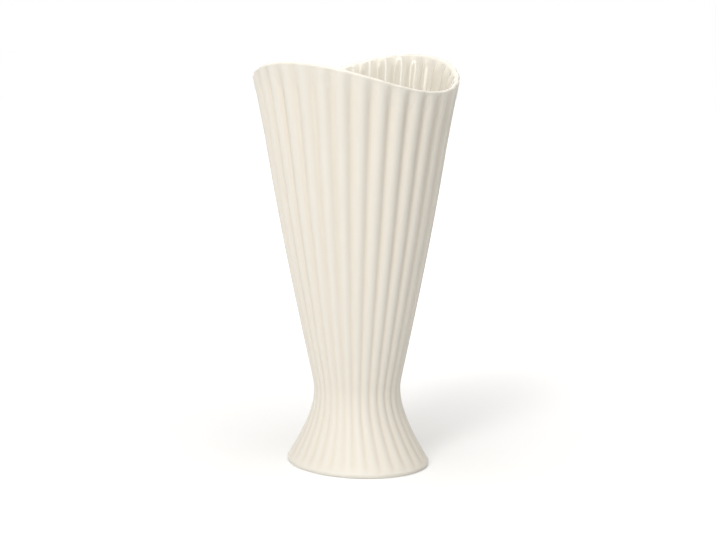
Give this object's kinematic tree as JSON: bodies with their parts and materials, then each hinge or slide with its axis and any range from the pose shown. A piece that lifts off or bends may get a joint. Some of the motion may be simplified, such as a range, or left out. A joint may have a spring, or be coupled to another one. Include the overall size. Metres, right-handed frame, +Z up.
{
  "type": "fluted fan vase",
  "caption": "Tall oval ceramic vase with fluted walls, a pinched waist, a flared foot and an arched fan rim, satin outside and gloss glazed inside, for cut flowers.",
  "frame": {"origin": "middle of the foot's underside, on the plane the vase stands on", "axes": "+Z up from foot to rim, X along the long axis of the oval where the rim is low, Y across it where the rim is high"},
  "size_m": [0.14, 0.1368, 0.28],
  "materials": {
    "stoneware": "bare fired stoneware",
    "satin_glaze": "satin cream glaze",
    "gloss_glaze": "gloss cream glaze"
  },
  "bodies": {
    "root": {"vase_body": "stoneware", "outer_glaze": "satin_glaze", "inner_glaze": "gloss_glaze"}
  },
  "joints": []
}
